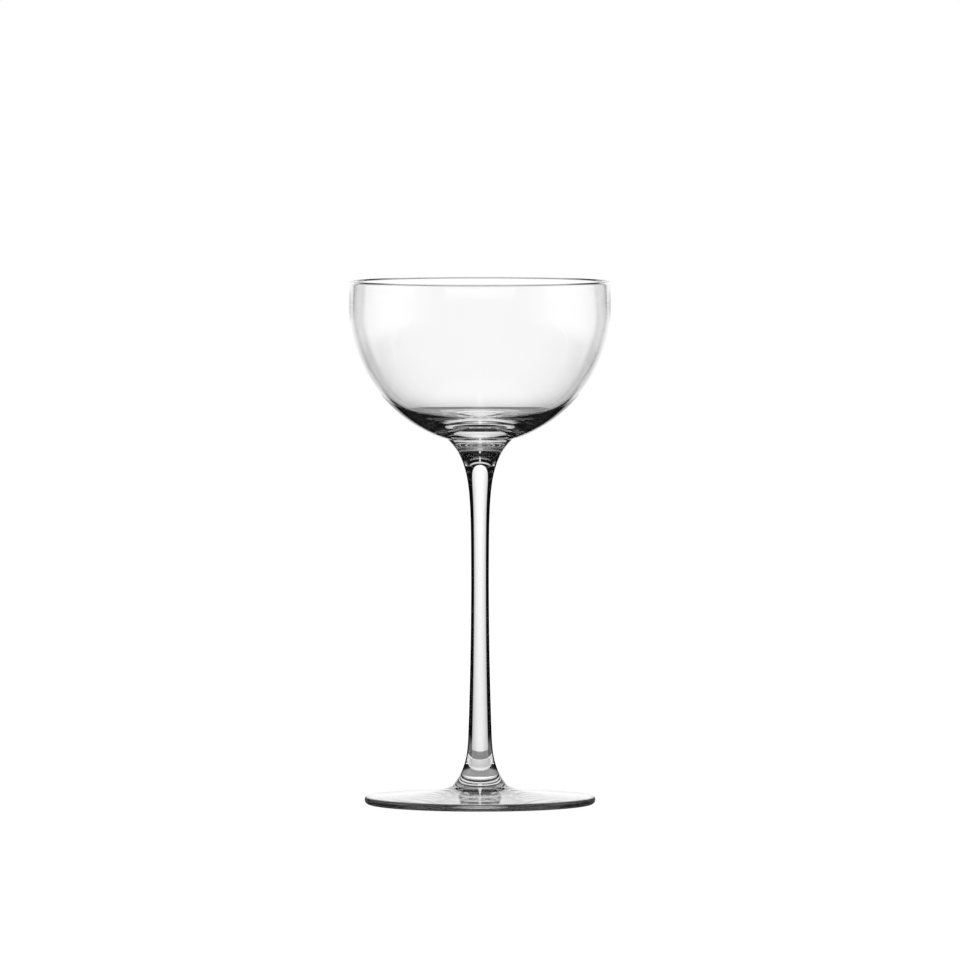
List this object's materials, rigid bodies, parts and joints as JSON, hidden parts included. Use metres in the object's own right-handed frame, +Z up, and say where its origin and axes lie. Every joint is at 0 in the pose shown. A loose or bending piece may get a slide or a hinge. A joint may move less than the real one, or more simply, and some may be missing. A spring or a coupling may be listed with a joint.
{
  "type": "stemmed cocktail glass",
  "caption": "Clear stemmed cocktail glass: a deep round bowl with a slightly drawn-in rim, a slender stem flared at both ends, and a thin round foot.",
  "frame": {"origin": "centre of the foot, on the surface that the glass stands on", "axes": "+Z up along the stem to the rim; the glass is round about Z, so X and Y are free"},
  "size_m": [0.076, 0.076, 0.152],
  "materials": {
    "clear_glass": "clear colourless glass, fire polished"
  },
  "bodies": {
    "root": {"bowl": "clear_glass", "stem": "clear_glass", "foot": "clear_glass"}
  },
  "joints": []
}
